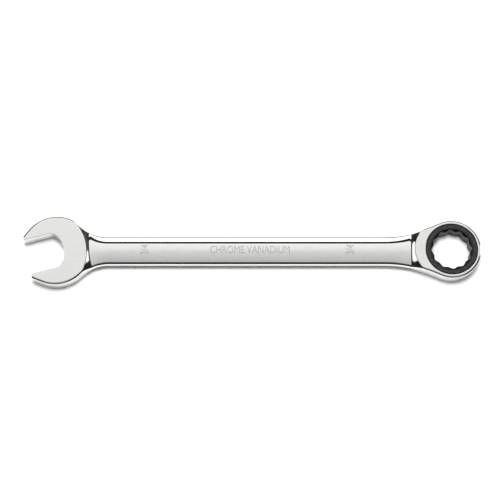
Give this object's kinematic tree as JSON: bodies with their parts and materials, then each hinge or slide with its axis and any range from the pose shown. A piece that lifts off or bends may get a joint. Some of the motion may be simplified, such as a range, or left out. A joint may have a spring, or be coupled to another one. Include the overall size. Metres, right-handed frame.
{
  "type": "ratcheting combination wrench",
  "caption": "Combination wrench for a 3/4 in hexagon, with an angled open jaw at one end and a one-way ratcheting twelve-point ring at the other.",
  "frame": {"origin": "on the ring's drive axis, halfway through the wrench's thickness", "axes": "+Z leaves the front face along the drive axis; the shank and the open jaw lie along -X; +Y is across the shank, on the side of the jaw's longer nose"},
  "size_m": [0.2486, 0.0384, 0.0094],
  "materials": {
    "polished_chrome": "polished chrome plate",
    "black_phosphate": "black phosphate",
    "spring_steel": "oiled spring steel",
    "pawl_steel": "hardened and oiled"
  },
  "bodies": {
    "wrench": {"wrench_body": "polished_chrome", "retaining_ring": "spring_steel", "pawl_spring": "spring_steel"},
    "gear": {"ratchet_gear": "black_phosphate"},
    "pawl": {"pawl": "pawl_steel"},
    "plunger": {"spring_plunger": "pawl_steel"}
  },
  "joints": [
    {"name": "gear_turn", "type": "hinge", "parent": "wrench", "child": "gear", "pos_m": [0, 0, 0], "axis": [0, 0, 1], "continuous": true},
    {"name": "pawl_swing", "type": "hinge", "parent": "wrench", "child": "pawl", "pos_m": [-0.0166, -0.0056, 0], "axis": [0, 0, 1], "range_deg": [0, 5.5]},
    {"name": "plunger_slide", "type": "slide", "parent": "wrench", "child": "plunger", "axis": [-1, 0, 0], "range_m": [0, 0.00087], "stiffness_N_per_m": 1000, "springref_m": -0.002, "deforming": ["pawl_spring"]}
  ],
  "couplings": [
    {"joint": "pawl_swing", "follows": "plunger_slide", "rad_per_m": 109.9}
  ]
}
